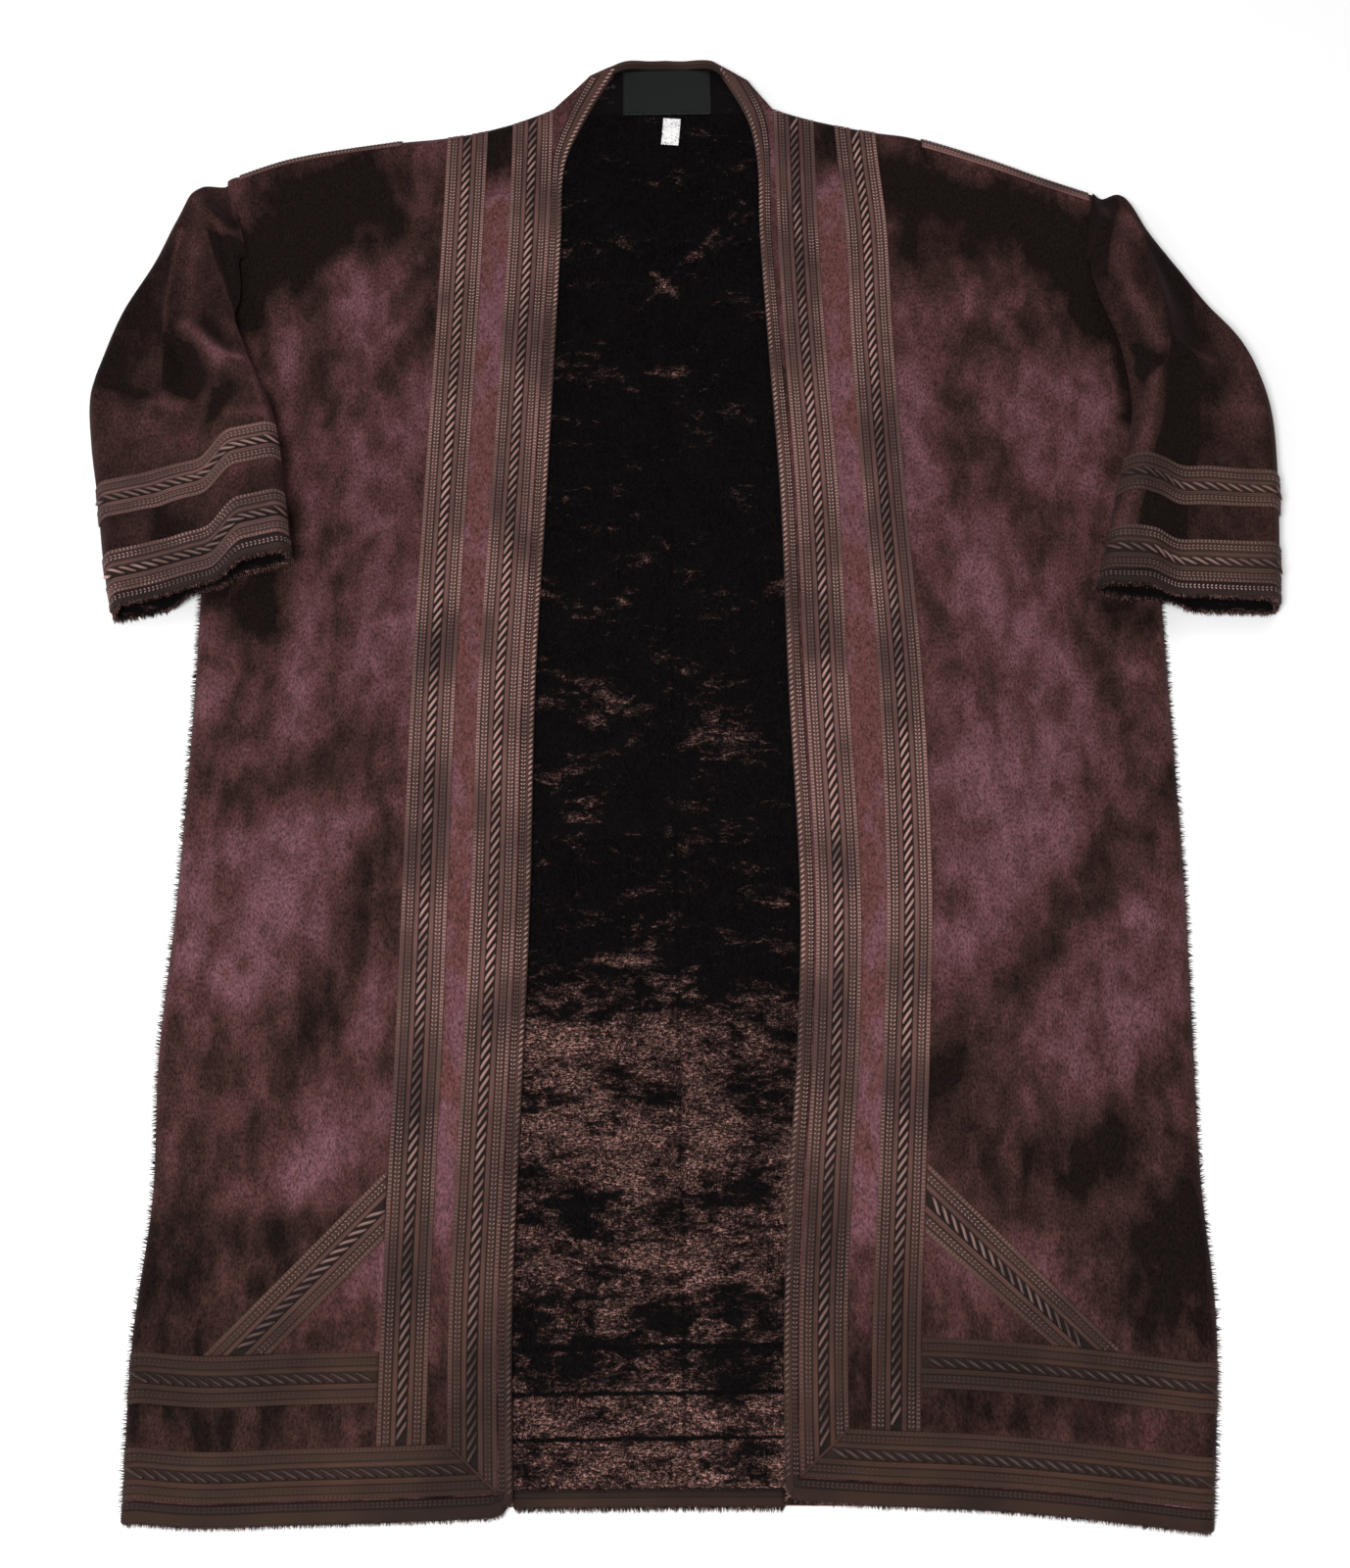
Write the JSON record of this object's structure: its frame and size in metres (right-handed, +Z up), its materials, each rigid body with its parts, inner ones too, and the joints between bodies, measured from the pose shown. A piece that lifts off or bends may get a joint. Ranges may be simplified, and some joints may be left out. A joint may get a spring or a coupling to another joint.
{
  "type": "bisht cloak laid flat",
  "caption": "Long open cloak of bonded suede and plush, laid flat with its sleeves turned down, trimmed with braid along the front edges, hem, corners and cuffs.",
  "frame": {"origin": "middle of the footprint, on the surface that the cloak lies on", "axes": "+X towards the cloak's right as it is looked at, +Y from hem to neck, +Z up out of the surface"},
  "size_m": [0.973, 1.2744, 0.0526],
  "materials": {
    "suede": "brushed faux suede, plum brown, patchy nap",
    "plush": "crushed plush pile, near black with brown lights",
    "braid": "woven braid with a twisted satin cord, taupe",
    "binding": "folded woven binding, taupe",
    "neck_label": "black satin weave, left bare",
    "care_label": "white tape, left bare"
  },
  "bodies": {
    "root": {"back_hem_binding": "binding", "back_panel": "plush", "care_label": "care_label", "corner_braid_left": "braid", "corner_braid_right": "braid", "cuff_braid_left": "braid", "cuff_braid_right": "braid", "edge_binding_left": "binding", "edge_binding_right": "binding", "edge_braid_left": "braid", "edge_braid_right": "braid", "front_left": "suede", "front_right": "suede", "hem_binding_left": "binding", "hem_binding_right": "binding", "hem_braid_left": "braid", "hem_braid_right": "braid", "neck_binding": "binding", "neck_label": "neck_label", "second_braid_left": "braid", "second_braid_right": "braid", "shoulder_braid_left": "braid", "shoulder_braid_right": "braid", "sleeve_braid_left": "braid", "sleeve_braid_right": "braid", "sleeve_left": "suede", "sleeve_right": "suede", "upper_hem_braid_left": "braid", "upper_hem_braid_right": "braid"}
  },
  "joints": []
}
